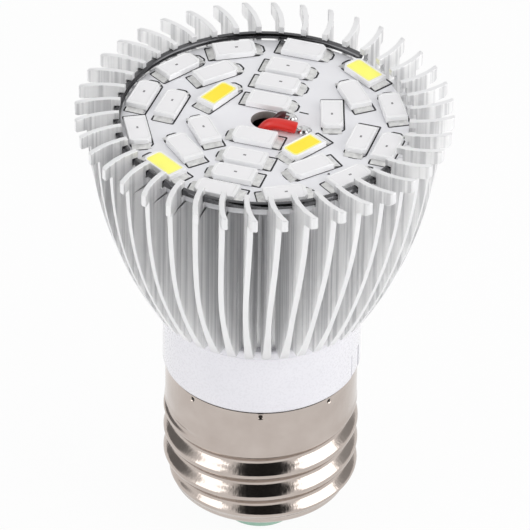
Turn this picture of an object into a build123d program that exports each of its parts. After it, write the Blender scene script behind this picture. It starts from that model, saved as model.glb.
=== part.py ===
from build123d import *
import math
import os

# Grow light bulb with a screw cap: a finned heat sink carries a round board of 28 LEDs,
# and a plastic collar joins it to the cap and holds the driver.
# Millimetres. +Z points out of the light face and the origin is the tip of the end contact.

# Heights along the bulb, each for one stretch by itself
contact_height = 0.75
insulator_boss_height = 1.65
insulator_cone_height = 3.8
cap_thread_height = 13.2
cap_sleeve_height = 6.6
rim_gap = 0.2
collar_height = 10.3
sink_height = 30.0

foot_z = contact_height + insulator_boss_height + insulator_cone_height
sleeve_z = foot_z + cap_thread_height
rim_z = sleeve_z + cap_sleeve_height
collar_z = rim_z + rim_gap
sink_z = collar_z + collar_height
top_z = sink_z + sink_height

# Screw shell
crest_radius = 13.18
thread_depth = 1.13
thread_pitch = 3.63
sleeve_radius = 12.95
shell_wall = 0.3
foot_corner = 1.0
foot_opening_radius = 9.3
crest_width = 0.9
groove_width = 0.9
sleeve_shoulder = 0.3
groove_count = 3
groove_top_drop = 2.0
stake_count = 8
stake_width = 0.7
stake_depth = 0.2
stake_drop = 0.8

root_radius = crest_radius - thread_depth
bore_radius = root_radius - shell_wall
sleeve_bore_radius = sleeve_radius - shell_wall

# Insulator and end contact
contact_radius = 3.2
contact_flat_radius = 1.8
contact_edge = 0.25
boss_radius = 4.4
boss_draft = 0.3
boss_chamfer = 0.2
insulator_flange = 1.5
insulator_flange_height = 1.2
insulator_clearance = 0.08
rivet_radius = 0.9
rivet_length = 2.4

# Collar, with a sleeve up into the heat sink and a skirt down into the shell
collar_radius = 13.3
collar_edge = 0.35
skirt_clearance = 0.1
skirt_depth = 14.2
skirt_step_gap = 0.4
sleeve_clearance = 0.2
sleeve_top_gap = 2.75
sleeve_wall = 1.1
tab_angle = -18.0
tab_half_angle = 6.0
tab_slit_width = 0.3
tab_slit_height = 4.0
tab_slit_depth = 1.0

# Heat sink
rim_width = 5.05
lip_height = 1.9
lip_step = 1.6
lip_chamfer = 0.4
flank_radius = 60.3
sink_foot_overhang = 1.5
core_radius = 12.3
core_bore_radius = 10.6
fin_count = 40
fin_first_angle = 2.7
fin_thickness = 0.72
fin_root_thickness = 1.5
fin_root_overlap = 0.5
fin_bend_inset = 0.3
fin_bend_radius = 11.5
fin_bend_runs = 3
fin_tip_chamfer = 0.22
tip_trim = 0.12

# Light face: board, snap ring and LEDs
board_radius = 19.0
board_thickness = 1.2
board_clearance = 0.1
board_depth = 2.05
wire_hole_radius = 2.1
ring_wire = 1.0
ring_sides = 8
ring_bite = 0.1
ring_clearance = 0.05
ring_first_angle = 49.0
ring_last_angle = 330.0
led_length = 5.7
led_width = 3.0
led_height = 0.9
led_corner = 0.55

pocket_radius = board_radius + board_clearance
board_top_z = top_z - board_depth
board_z = board_top_z - board_thickness
ring_radius = board_radius - ring_bite + ring_wire / 2
ring_z = board_top_z + ring_clearance + ring_wire / 2
groove_radius = ring_radius + ring_wire / 2 + ring_clearance
groove_height = ring_wire + 2 * ring_clearance
sink_radius = groove_radius + rim_width
sink_foot_radius = collar_radius + sink_foot_overhang
fin_bend_start = pocket_radius - fin_bend_inset

# Driver board inside the sleeve
driver_board_width = 18.2
driver_board_thickness = 1.2
driver_board_rise = 2.8
driver_board_drop = 2.5
driver_board_y = -3.0
driver_slot_clearance = 0.1
lead_radius = 0.7
lead_core_radius = 0.35
lead_bare_length = 0.9
lead_sides = 8

skirt_z = collar_z - skirt_depth
driver_board_z = skirt_z + driver_board_rise
driver_face_y = driver_board_y + driver_board_thickness / 2
driver_back_y = driver_board_y - driver_board_thickness / 2

os.makedirs("parts", exist_ok=True)


def finish(piece, label):
    piece.part.label = label
    export_step(piece.part, f"parts/{label}.step")


# Heat sink: an extrusion of bent fins round a core, then turned outside and bored.
# Each bend is a few flats and each tip is chamfered, which keeps the many fins light.
fin_half = fin_thickness / 2
root_half = fin_root_thickness / 2
fin_inner = core_radius - fin_root_overlap
bend_centre = (fin_bend_start, fin_bend_radius)


def bend_point(radius, angle, beyond):
    sine = math.sin(math.radians(angle))
    cosine = math.cos(math.radians(angle))
    return (
        bend_centre[0] + radius * sine + beyond * cosine,
        bend_centre[1] - radius * cosine + beyond * sine,
    )


# The middle of the fin turns until its chamfered tip reaches just past the turned outside
tip_reach = sink_radius + tip_trim - fin_half
bend_centre_distance = math.hypot(*bend_centre)
tip_cosine = (bend_centre_distance**2 + fin_bend_radius**2 - tip_reach**2) / (
    2 * bend_centre_distance * fin_bend_radius
)
bend_angle = math.degrees(math.acos(tip_cosine)) - math.degrees(math.atan2(*bend_centre))

bend_steps = [bend_angle * run / fin_bend_runs for run in range(fin_bend_runs + 1)]
back_radius = fin_bend_radius + fin_half
front_radius = fin_bend_radius - fin_half
back_points = [bend_point(back_radius, angle, 0) for angle in bend_steps]
front_points = [bend_point(front_radius, angle, 0) for angle in bend_steps]
tip_points = [
    bend_point(back_radius, bend_angle, fin_half - fin_tip_chamfer),
    bend_point(back_radius - fin_tip_chamfer, bend_angle, fin_half),
    bend_point(front_radius + fin_tip_chamfer, bend_angle, fin_half),
    bend_point(front_radius, bend_angle, fin_half - fin_tip_chamfer),
]

with BuildSketch(mode=Mode.PRIVATE) as fin_section:
    with BuildLine():
        Polyline(
            (fin_inner, root_half),
            (fin_inner, -root_half),
            *back_points,
            *tip_points,
            *reversed(front_points),
            close=True,
        )
    make_face()

with BuildPart() as heat_sink:
    with BuildSketch(Plane.XY.offset(sink_z)):
        Circle(core_radius)
        with PolarLocations(0, fin_count, start_angle=fin_first_angle):
            add(fin_section.sketch)
        Circle(core_bore_radius, mode=Mode.SUBTRACT)
    extrude(amount=sink_height)
    # Turned outside: the lip, the undercut below it and the long curved flank
    with BuildSketch(Plane.XZ):
        with BuildLine():
            lip_z = top_z - lip_height
            undercut_radius = sink_radius - lip_step
            flank = RadiusArc((undercut_radius, lip_z), (sink_foot_radius, sink_z), flank_radius)
            Polyline(flank @ 1, (0, sink_z), (0, top_z), (sink_radius, top_z))
            Polyline(
                (sink_radius, top_z),
                (sink_radius, lip_z + lip_chamfer),
                (sink_radius - lip_chamfer, lip_z),
                flank @ 0,
            )
        make_face()
    revolve(axis=Axis.Z, mode=Mode.INTERSECT)
    # Pocket for the board, with the groove for the snap ring in the fins' ends
    with BuildSketch(Plane.XY.offset(board_z)):
        Circle(pocket_radius)
    extrude(amount=top_z - board_z, mode=Mode.SUBTRACT)
    with BuildSketch(Plane.XY.offset(ring_z - groove_height / 2)):
        Circle(groove_radius)
    extrude(amount=groove_height, mode=Mode.SUBTRACT)
finish(heat_sink, "heat_sink")

# Snap ring: a wire, open on one side, sprung into the groove above the board
with BuildPart() as retaining_ring:
    with BuildLine() as ring_path:
        CenterArc((0, 0, ring_z), ring_radius, ring_first_angle, ring_last_angle - ring_first_angle)
    with BuildSketch(Plane(origin=ring_path.line @ 0, z_dir=ring_path.line % 0)):
        RegularPolygon(ring_wire / 2, ring_sides, major_radius=False)
    sweep(path=ring_path.line)
finish(retaining_ring, "retaining_ring")

# LED board: a plain disc with the wire hole in the middle
with BuildPart() as led_board:
    with BuildSketch(Plane.XY.offset(board_z)):
        Circle(board_radius)
        Circle(wire_hole_radius, mode=Mode.SUBTRACT)
    extrude(amount=board_thickness)
finish(led_board, "led_board")

# LEDs along the rim: how far in from the board's edge, bearing, and turn of the long side.
# The marked end, with its corners cut, is at +1 or -1 along the long side.
rim_leds = [
    (2.15, 161.8, 71.0, 1),
    (2.4, 133.8, 41.0, 1),
    (2.5, 104.5, 12.0, 1),
    (2.05, 72.2, -17.0, 1),
    (1.85, 40.2, -49.5, -1),
    (1.85, 10.6, -78.0, -1),
    (1.85, -20.2, 72.0, 1),
    (2.1, -48.8, 37.0, 1),
    (2.15, -80.4, 10.5, 1),
    (2.1, -111.0, -17.5, -1),
    (2.25, -140.6, -49.0, -1),
    (2.15, -170.1, -79.5, 1),
]
# LEDs inside that circle: place from the middle, turn and marked end, as laid out on a board of this radius
layout_radius = 19.0
inner_leds = [
    (3.1, 11.85, -17.0, 1),
    (1.8, 8.25, -17.0, 1),
    (0.6, 4.15, -17.0, 1),
    (-1.3, -3.9, -17.0, -1),
    (-2.5, -8.6, -17.0, -1),
    (-3.9, -12.25, -17.0, -1),
    (-12.3, 3.25, 71.0, 1),
    (-6.1, 5.4, 51.0, 1),
    (-6.55, 10.6, 31.5, 1),
    (-7.9, -2.5, -69.5, -1),
    (-10.45, -6.55, -61.0, -1),
    (5.05, -6.15, 42.5, -1),
    (6.0, -10.5, 31.0, -1),
    (12.6, -4.25, 73.0, -1),
    (8.85, 1.25, 91.0, -1),
    (11.75, 6.0, -69.0, -1),
]
led_places = []
for edge_distance, bearing, turn, marked_end in rim_leds:
    reach = board_radius - edge_distance
    led_x = reach * math.cos(math.radians(bearing))
    led_y = reach * math.sin(math.radians(bearing))
    led_places.append((led_x, led_y, turn, marked_end))
layout_scale = board_radius / layout_radius
for led_x, led_y, turn, marked_end in inner_leds:
    led_places.append((led_x * layout_scale, led_y * layout_scale, turn, marked_end))

for number, (led_x, led_y, turn, marked_end) in enumerate(led_places, start=1):
    led_plane = Plane(origin=(led_x, led_y, board_top_z), x_dir=Vector(1, 0, 0).rotate(Axis.Z, turn))
    with BuildPart() as led:
        with BuildSketch(led_plane) as led_outline:
            Rectangle(led_length, led_width)
            ends = led_outline.vertices().group_by(Axis.X)
            chamfer(ends[-1] if marked_end > 0 else ends[0], led_corner)
        extrude(amount=led_height)
    finish(led, f"led_{number:02d}")

# Screw shell: a tube whose thread zone has rounded-off grooves at the thread's pitch
thread_points = []
for turn in range(groove_count):
    groove_z = sleeve_z - groove_top_drop - turn * thread_pitch
    thread_points += [
        (crest_radius, groove_z + (thread_pitch - crest_width) / 2),
        (root_radius, groove_z + groove_width / 2),
        (root_radius, groove_z - groove_width / 2),
        (crest_radius, groove_z - (thread_pitch - crest_width) / 2),
    ]

with BuildPart() as screw_shell:
    with BuildSketch(Plane.XZ):
        with BuildLine():
            Polyline(
                *thread_points,
                (root_radius, foot_z + foot_corner),
                (root_radius - foot_corner, foot_z),
                (foot_opening_radius, foot_z),
                (foot_opening_radius, foot_z + shell_wall),
                (bore_radius - foot_corner, foot_z + shell_wall),
                (bore_radius, foot_z + shell_wall + foot_corner),
                (bore_radius, sleeve_z - thread_depth / 2),
                (sleeve_bore_radius, sleeve_z),
                (sleeve_bore_radius, rim_z),
                (sleeve_radius, rim_z),
                (sleeve_radius, sleeve_z + sleeve_shoulder),
                (crest_radius, sleeve_z),
                close=True,
            )
        make_face()
    revolve(axis=Axis.Z)
    # Punched marks that stake the sleeve to the collar's skirt
    with Locations(Pos(0, 0, collar_z - stake_drop)):
        with PolarLocations(sleeve_radius, stake_count):
            Box(2 * stake_depth, stake_width, stake_width, mode=Mode.SUBTRACT)
finish(screw_shell, "screw_shell")

# Insulator: a flange inside the shell, a cone below it and a boss for the end contact
boss_z = contact_height
cone_z = boss_z + insulator_boss_height
neck_radius = foot_opening_radius - insulator_clearance
flange_radius = neck_radius + insulator_flange
flange_z = foot_z + shell_wall + insulator_clearance
rivet_top_z = boss_z + rivet_length
rivet_hole_radius = rivet_radius + insulator_clearance

with BuildPart() as cap_insulator:
    with BuildSketch(Plane.XZ):
        with BuildLine():
            Polyline(
                (rivet_hole_radius, boss_z),
                (boss_radius - boss_chamfer, boss_z),
                (boss_radius, boss_z + boss_chamfer),
                (boss_radius + boss_draft, cone_z),
                (neck_radius, foot_z),
                (neck_radius, flange_z),
                (flange_radius, flange_z),
                (flange_radius, flange_z + insulator_flange_height),
                (rivet_hole_radius, flange_z + insulator_flange_height),
                close=True,
            )
        make_face()
    revolve(axis=Axis.Z)
finish(cap_insulator, "cap_insulator")

# End contact: a dished button with the rivet that holds it in the insulator
with BuildPart() as centre_contact:
    with BuildSketch(Plane.XZ):
        with BuildLine():
            Polyline(
                (0, 0),
                (contact_flat_radius, 0),
                (contact_radius, boss_z - contact_edge),
                (contact_radius, boss_z),
                (rivet_radius, boss_z),
                (rivet_radius, rivet_top_z),
                (0, rivet_top_z),
                close=True,
            )
        make_face()
    revolve(axis=Axis.Z)
finish(centre_contact, "centre_contact")

# Collar: the white ring between cap and heat sink, with its sleeve above and skirt below
skirt_radius = sleeve_bore_radius - skirt_clearance
skirt_step_z = sleeve_z + skirt_step_gap
thread_skirt_radius = bore_radius - skirt_clearance
sleeve_outer_radius = core_bore_radius - sleeve_clearance
sleeve_inner_radius = sleeve_outer_radius - sleeve_wall
sleeve_top_z = board_z - sleeve_top_gap
tab_middle_radius = collar_radius - tab_slit_depth / 2
driver_slot_width = driver_board_width + 2 * driver_slot_clearance
driver_slot_thickness = driver_board_thickness + 2 * driver_slot_clearance

with BuildPart() as collar:
    with BuildSketch(Plane.XZ):
        with BuildLine():
            Polyline(
                (sleeve_inner_radius, skirt_z),
                (thread_skirt_radius, skirt_z),
                (thread_skirt_radius, skirt_step_z),
                (skirt_radius, skirt_step_z),
                (skirt_radius, collar_z),
                (collar_radius - collar_edge, collar_z),
                (collar_radius, collar_z + collar_edge),
                (collar_radius, sink_z - collar_edge),
                (collar_radius - collar_edge, sink_z),
                (sleeve_outer_radius, sink_z),
                (sleeve_outer_radius, sleeve_top_z),
                (sleeve_inner_radius, sleeve_top_z),
                close=True,
            )
        make_face()
    revolve(axis=Axis.Z)
    # Snap tab between two slits that run up from the lower edge
    with BuildSketch(Plane.XY.offset(collar_z)):
        for side in (-1, 1):
            with PolarLocations(tab_middle_radius, 1, start_angle=tab_angle + side * tab_half_angle):
                Rectangle(tab_slit_depth * 2, tab_slit_width, align=(Align.CENTER, Align.CENTER))
        Circle(collar_radius - tab_slit_depth, mode=Mode.SUBTRACT)
    extrude(amount=tab_slit_height, mode=Mode.SUBTRACT)
    # Slots that take the two long edges of the driver board
    with BuildSketch(Plane.XY.offset(driver_board_z)):
        with Locations((0, driver_board_y)):
            Rectangle(driver_slot_width, driver_slot_thickness)
    extrude(amount=sleeve_top_z - driver_board_z, mode=Mode.SUBTRACT)
finish(collar, "collar")

# Driver board, upright in the collar. Its parts are placed as on a board of the layout's length.
driver_board_top_z = sleeve_top_z - driver_board_drop
driver_board_length = driver_board_top_z - driver_board_z
driver_layout_length = 43.2
driver_layout_scale = driver_board_length / driver_layout_length
with BuildPart() as driver_board:
    with BuildSketch(Plane.XY.offset(driver_board_z)):
        with Locations((0, driver_board_y)):
            Rectangle(driver_board_width, driver_board_thickness)
    extrude(amount=driver_board_length)
finish(driver_board, "driver_board")

driver_face = Plane(origin=(0, driver_face_y, driver_board_z), x_dir=(-1, 0, 0), z_dir=(0, 1, 0))
driver_back = Plane(origin=(0, driver_back_y, driver_board_z), x_dir=(1, 0, 0), z_dir=(0, -1, 0))

# Fusible resistor across the mains end of the driver board
fuse_radius = 1.6
fuse_length = 8.0
fuse_height = 6.0
with BuildPart() as fusible_resistor:
    with BuildSketch(Plane.YZ.offset(-fuse_length / 2)):
        with Locations((driver_face_y + fuse_radius, driver_board_z + fuse_height * driver_layout_scale)):
            Circle(fuse_radius)
    extrude(amount=fuse_length)
    chamfer(fusible_resistor.edges().filter_by(GeomType.CIRCLE), fuse_radius / 3)
finish(fusible_resistor, "fusible_resistor")

# Bridge rectifier and driver chip on the back of the driver board
bridge_size = (4.8, 4.0, 2.6)
bridge_height = 8.0
chip_size = (5.0, 4.0, 1.6)
chip_height = 18.0
chip_chamfer = 0.3
for label, size, height in (
    ("bridge_rectifier", bridge_size, bridge_height),
    ("driver_chip", chip_size, chip_height),
):
    with BuildPart() as chip:
        with BuildSketch(driver_back):
            with Locations((0, height * driver_layout_scale)):
                Rectangle(size[0], size[1])
        extrude(amount=size[2])
        chamfer(chip.faces().sort_by(Axis.Y)[0].edges(), chip_chamfer)
    finish(chip, label)

# Film capacitor, a block with rounded corners
film_size = (10.0, 5.0, 8.0)
film_height = 12.5
film_round = 0.8
with BuildPart() as film_capacitor:
    with BuildSketch(driver_face):
        with Locations((0, film_height * driver_layout_scale)):
            RectangleRounded(film_size[0], film_size[1], film_round)
    extrude(amount=film_size[2])
finish(film_capacitor, "film_capacitor")

# Transformer: a bobbin between the two legs of its core
core_width = 10.5
core_height = 9.0
core_thickness = 4.6
core_leg = 1.0
core_yoke = 1.5
bobbin_radius = 3.8
bobbin_proud = 1.0
transformer_height = 21.5
transformer_standoff = 1.8
window_height = core_height - 2 * core_yoke
with BuildPart() as transformer:
    with BuildSketch(driver_face.offset(transformer_standoff)):
        with Locations((0, transformer_height * driver_layout_scale)):
            Rectangle(core_width, core_height)
            Rectangle(core_width - 2 * core_leg, window_height, mode=Mode.SUBTRACT)
    extrude(amount=core_thickness)
    with BuildSketch(driver_face):
        with Locations((0, transformer_height * driver_layout_scale)):
            Rectangle(2 * bobbin_radius, window_height)
    extrude(amount=transformer_standoff + core_thickness + bobbin_proud)
finish(transformer, "transformer")

# Electrolytic capacitor lying along the board
can_radius = 3.15
can_length = 10.0
can_height = 27.5
can_chamfer = 0.5
can_offset = 1.5
with BuildPart() as electrolytic_capacitor:
    with BuildSketch(Plane.XY.offset(driver_board_z + can_height * driver_layout_scale)):
        with Locations((can_offset, driver_face_y + can_radius)):
            Circle(can_radius)
    extrude(amount=can_length)
    chamfer(electrolytic_capacitor.edges().filter_by(GeomType.CIRCLE), can_chamfer)
finish(electrolytic_capacitor, "electrolytic_capacitor")

# Leads: insulated wire with bare ends, along straight runs joined by arcs
lead_bend = 1.2
short_lead_bend = 0.8
lead_top_z = board_top_z + lead_radius + ring_clearance
lead_arch_z = lead_top_z + lead_radius
lead_front_y = driver_face_y + lead_radius + ring_clearance
led_joint_x = 2.6
led_joint_drop = 3.0
led_joint_z = driver_board_top_z - led_joint_drop
led_lead_rise = 4.0
positive_hole = (-0.95, -0.75)
positive_pad = (5.2, -2.55)
positive_end = Vector(positive_pad[0] * layout_scale, positive_pad[1] * layout_scale, lead_top_z)
negative_hole = (0.85, 0.6)
negative_pad = (3.05, 0.6)
negative_end = Vector(negative_pad[0] * layout_scale, negative_pad[1] * layout_scale, lead_top_z)
mains_joint_rise = 2.0
mains_exit_drop = 0.5
mains_joint_z = driver_board_z + mains_joint_rise
mains_exit_z = skirt_z - mains_exit_drop
live_x = 1.5
live_loop_z = skirt_z - 4.5
neutral_x = -3.5
neutral_loop = (-7.5, -1.0, skirt_z - 2.5)
neutral_end = (-bore_radius + lead_core_radius, -1.0, skirt_z - 1.5)


def lead(label, points, bend):
    with BuildPart() as wire:
        with BuildLine() as whole:
            FilletPolyline(*points, radius=bend)
        path = whole.wire()
        with BuildSketch(Plane(origin=path @ 0, z_dir=path % 0)):
            RegularPolygon(lead_core_radius, lead_sides)
        sweep(path=path)
        covered = path.trim(lead_bare_length / path.length, 1 - lead_bare_length / path.length)
        with BuildSketch(Plane(origin=covered @ 0, z_dir=covered % 0)):
            RegularPolygon(lead_radius, lead_sides)
        sweep(path=covered)
    finish(wire, label)
    return wire


positive_lead = lead(
    "positive_lead",
    [
        (-led_joint_x, lead_front_y, led_joint_z),
        (*positive_hole, led_joint_z + led_lead_rise),
        (*positive_hole, lead_arch_z),
        positive_end,
    ],
    lead_bend,
)
negative_lead = lead(
    "negative_lead",
    [
        (led_joint_x, lead_front_y, led_joint_z),
        (*negative_hole, led_joint_z + led_lead_rise),
        (*negative_hole, lead_arch_z),
        negative_end,
    ],
    short_lead_bend,
)
lead(
    "live_lead",
    [
        (live_x, lead_front_y, mains_joint_z),
        (live_x, lead_front_y, mains_exit_z),
        (0, 0, live_loop_z),
        (0, 0, rivet_top_z),
    ],
    lead_bend,
)
lead(
    "neutral_lead",
    [
        (neutral_x, lead_front_y, mains_joint_z),
        (neutral_x, lead_front_y, mains_exit_z),
        neutral_loop,
        neutral_end,
    ],
    lead_bend,
)

# Solder joints of the two LED leads: low cones round the bare ends
solder_radius = 0.95
solder_top_radius = 0.5
solder_height = 0.85
for label, wire, end in (
    ("positive_solder", positive_lead, positive_end),
    ("negative_solder", negative_lead, negative_end),
):
    with BuildPart() as joint:
        with BuildSketch(Plane.XY.offset(board_top_z)):
            with Locations((end.X, end.Y)):
                RegularPolygon(solder_radius, lead_sides)
        with BuildSketch(Plane.XY.offset(board_top_z + solder_height)):
            with Locations((end.X, end.Y)):
                RegularPolygon(solder_top_radius, lead_sides)
        loft()
        add(wire.part, mode=Mode.SUBTRACT)
    finish(joint, label)
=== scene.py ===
# %% [markdown]
# # A grow light bulb
#
# This bulb has a finned aluminium heat sink, a round board of LEDs sprung into its top, a white
# plastic collar and a nickel-plated screw cap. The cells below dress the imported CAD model: the
# camera and light first, then the finishes as small shader graphs, then one piece at a time.

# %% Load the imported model
import math

import bpy
from mathutils import Matrix, Vector


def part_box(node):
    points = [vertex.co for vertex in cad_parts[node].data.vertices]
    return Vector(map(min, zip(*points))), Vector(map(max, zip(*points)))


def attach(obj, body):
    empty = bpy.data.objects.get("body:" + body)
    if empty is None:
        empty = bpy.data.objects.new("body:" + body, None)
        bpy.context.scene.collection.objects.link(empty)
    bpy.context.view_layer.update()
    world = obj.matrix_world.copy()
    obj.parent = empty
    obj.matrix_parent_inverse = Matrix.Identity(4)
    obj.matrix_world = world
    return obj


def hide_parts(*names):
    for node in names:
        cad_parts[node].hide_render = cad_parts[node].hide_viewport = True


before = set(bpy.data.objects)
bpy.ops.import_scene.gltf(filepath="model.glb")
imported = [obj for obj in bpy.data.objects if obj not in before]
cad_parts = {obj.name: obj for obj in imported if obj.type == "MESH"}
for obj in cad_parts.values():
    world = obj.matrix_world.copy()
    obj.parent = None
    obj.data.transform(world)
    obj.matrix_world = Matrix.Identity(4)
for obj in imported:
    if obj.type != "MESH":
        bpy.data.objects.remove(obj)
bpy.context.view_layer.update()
MM = 0.001

# %% [markdown]
# The photograph was taken from far away with a long lens, from about 37 degrees above the rim.
# The camera's place follows from its distance, its height angle, a small roll, its focal length in
# pixels, and the pixel where a known point on the bulb's axis falls. Blender wants the camera's own
# axes, so they are worked out as vectors and written as the columns of its matrix.

# %% Camera
CAMERA_DISTANCE = 900 * MM
CAMERA_HEIGHT = math.radians(36.593)
CAMERA_ROLL = math.radians(0.764)
FOCAL_PIXELS = 6725.61
PHOTO_SIDE = 530
AIM_PIXEL = (262.217, 292.592)
AIM_POINT = Vector((0, 0, 36.5 * MM))
SENSOR_WIDTH = 36

back = Vector((0, -math.cos(CAMERA_HEIGHT), math.sin(CAMERA_HEIGHT)))
level_up = Vector((0, math.sin(CAMERA_HEIGHT), math.cos(CAMERA_HEIGHT)))
level_right = Vector((1, 0, 0))
right = level_right * math.cos(CAMERA_ROLL) + level_up * math.sin(CAMERA_ROLL)
up = level_up * math.cos(CAMERA_ROLL) - level_right * math.sin(CAMERA_ROLL)
per_pixel = CAMERA_DISTANCE / FOCAL_PIXELS
slide_right = (AIM_PIXEL[0] - PHOTO_SIDE / 2) * per_pixel
slide_up = (PHOTO_SIDE / 2 - AIM_PIXEL[1]) * per_pixel
place = AIM_POINT + back * CAMERA_DISTANCE - right * slide_right - up * slide_up

camera_data = bpy.data.cameras.new("camera")
camera_data.sensor_width = SENSOR_WIDTH
camera_data.lens = FOCAL_PIXELS / PHOTO_SIDE * SENSOR_WIDTH
camera = bpy.data.objects.new("camera", camera_data)
turn = Matrix((right, up, back)).transposed()
camera.matrix_world = Matrix.Translation(place) @ turn.to_4x4()
bpy.context.scene.collection.objects.link(camera)
bpy.context.scene.camera = camera
print("lens", round(camera_data.lens, 1), "mm at", [round(c, 4) for c in place])

# %% [markdown]
# Shader graphs read best as sums and products. `Socket` wraps one output of a node and turns
# `a * b + c` into Math nodes, and `Graph.node` adds any other node from its type, its settings and
# its inputs. Each finish further down is then a few lines that say what varies and by how much.

# %% Sockets that can be added and multiplied
class Socket:
    def __init__(self, graph, link):
        self.graph = graph
        self.link = link

    def math(self, operation, *others):
        values = dict(enumerate((self,) + others))
        return self.graph.node("ShaderNodeMath", {"operation": operation}, values)

    def __add__(self, other):
        return self.math("ADD", other)

    __radd__ = __add__

    def __mul__(self, other):
        return self.math("MULTIPLY", other)

    __rmul__ = __mul__

    def __sub__(self, other):
        return self.math("SUBTRACT", other)

    def __rsub__(self, other):
        return (self * -1) + other

    def __pow__(self, other):
        return self.math("POWER", other)


# %% One graph of nodes
class Graph:
    def __init__(self, owner):
        owner.use_nodes = True
        self.material = owner
        self.tree = owner.node_tree
        self.shader = self.tree.nodes.get("Principled BSDF")

    def node(self, kind, settings=None, values=None, output=0):
        """Adds a node, sets it up, fills its inputs and returns one of its outputs."""
        made = self.tree.nodes.new(kind)
        for key, value in (settings or {}).items():
            setattr(made, key, value)
        for key, value in (values or {}).items():
            self.feed(made.inputs[key], value)
        return Socket(self, made.outputs[output])

    def feed(self, socket, value):
        if isinstance(value, Socket):
            self.tree.links.new(value.link, socket)
        else:
            socket.default_value = value

    def set(self, **values):
        """Feeds the Principled shader; Base_Color stands for its socket Base Color."""
        for key, value in values.items():
            self.feed(self.shader.inputs[key.replace("_", " ")], value)
        return self.material

    def place(self):
        return self.node("ShaderNodeTexCoord", output=3)

    def smooth(self, value, low, high):
        settings = {"interpolation_type": "SMOOTHSTEP"}
        return self.node("ShaderNodeMapRange", settings, {0: value, 1: low, 2: high})

    def dot(self, vector, axis):
        settings = {"operation": "DOT_PRODUCT"}
        return self.node("ShaderNodeVectorMath", settings, {0: vector, 1: axis}, output=1)

    def ray_kinds(self):
        """Three sockets, 1 for rays from the camera, reflected rays and rays through glass."""
        path = self.node("ShaderNodeLightPath").link.node
        kinds = ("Camera", "Glossy", "Transmission")
        return [Socket(self, path.outputs[f"Is {kind} Ray"]) for kind in kinds]

    def split(self, vector):
        parts = self.node("ShaderNodeSeparateXYZ", values={0: vector}).link.node
        return [Socket(self, parts.outputs[i]) for i in range(3)]

    def drawn_out(self, vector, share):
        """Shrinks the height in a place, so that a pattern there runs long, up and down the bulb."""
        values = {0: vector, 1: (1, 1, share)}
        return self.node("ShaderNodeVectorMath", {"operation": "MULTIPLY"}, values)

    def noise(self, vector, scale, detail):
        values = {"Vector": vector, "Scale": scale, "Detail": detail}
        return self.node("ShaderNodeTexNoise", values=values)

    def mix(self, factor, first, second):
        values = {0: factor, 6: first, 7: second}
        return self.node("ShaderNodeMix", {"data_type": "RGBA"}, values, output=2)

    def mix_shader(self, factor, first, second):
        return self.node("ShaderNodeMixShader", values={0: factor, 1: first, 2: second})

    def bump(self, height, strength, distance):
        values = {"Height": height, "Strength": strength, "Distance": distance}
        return self.node("ShaderNodeBump", values=values)


def new_graph(name):
    return Graph(bpy.data.materials.new(name))


def colour(red, green, blue):
    """Linear light from the red, green and blue that a picture stores, 0 to 255."""

    def linear(value):
        share = value / 255
        return share / 12.92 if share <= 0.04045 else ((share + 0.055) / 1.055) ** 2.4

    return (linear(red), linear(green), linear(blue), 1.0)


# %% [markdown]
# Metal shows what surrounds it. The camera sees the room as plain white. Reflections see white with
# three dark zones, one in front and one at each side, as a studio's black cards would show, and these
# give the nickel its black and white bands. The bulb is lit by an even, dimmer room and three soft
# lamps: one at each side, and one in front that reflections don't show.

# %% Room
scene = bpy.context.scene
scene.view_settings.view_transform = "Standard"
scene.cycles.glossy_bounces = 12
scene.cycles.diffuse_bounces = 8

WHITE = (1, 1, 1, 1)
ROOM_LIGHT = 0.66
DARK_LIGHT = 0.01
FRONT_DARK_SIDES = (0.34, 0.56)
FRONT_DARK_DEPTH = (0.1, 0.3)
LEFT_DARK = (-0.77, 0.54, 0.34)
LEFT_DARK_EDGE = (0.76, 0.94)
LEFT_DARK_SHARE = 0.8
RIGHT_DARK = (0.82, 0.48, 0.3)
RIGHT_DARK_EDGE = (0.88, 0.98)
RIGHT_DARK_SHARE = 0.6

world = bpy.data.worlds.new("room")
scene.world = world
room = Graph(world)
direction = room.node("ShaderNodeTexCoord", output=0)
across, behind, _ = room.split(direction)
beside = room.smooth(across.math("ABSOLUTE"), *FRONT_DARK_SIDES)
front_dark = (1 - beside) * room.smooth(behind * -1, *FRONT_DARK_DEPTH)
left_dark = room.smooth(room.dot(direction, LEFT_DARK), *LEFT_DARK_EDGE)
right_dark = room.smooth(room.dot(direction, RIGHT_DARK), *RIGHT_DARK_EDGE)
mirrored = (1 - front_dark) * (1 - left_dark * LEFT_DARK_SHARE) * (1 - right_dark * RIGHT_DARK_SHARE)


def background(strength):
    return room.node("ShaderNodeBackground", values={"Color": WHITE, "Strength": strength})


camera_ray, glossy_ray, through_ray = room.ray_kinds()
white = background(1.0)
reflected = room.mix_shader(mirrored, background(DARK_LIGHT), white)
lit_or_mirrored = room.mix_shader(glossy_ray, background(ROOM_LIGHT), reflected)
seen = room.mix_shader(camera_ray + through_ray, lit_or_mirrored, white)
room.tree.links.new(seen.link, room.tree.nodes["World Output"].inputs["Surface"])

# %% Lamps
LAMP_TARGET = Vector((0, 0, 0.04))


def area_lamp(name, place, size, power):
    """A rectangle of light that faces the middle of the bulb."""
    lamp_data = bpy.data.lights.new(name, "AREA")
    lamp_data.shape = "RECTANGLE"
    lamp_data.size = size[0]
    lamp_data.size_y = size[1]
    lamp_data.energy = power
    lamp = bpy.data.objects.new(name, lamp_data)
    lamp.location = place
    lamp.rotation_euler = (LAMP_TARGET - Vector(place)).to_track_quat("-Z", "Y").to_euler()
    scene.collection.objects.link(lamp)
    return lamp


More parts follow.
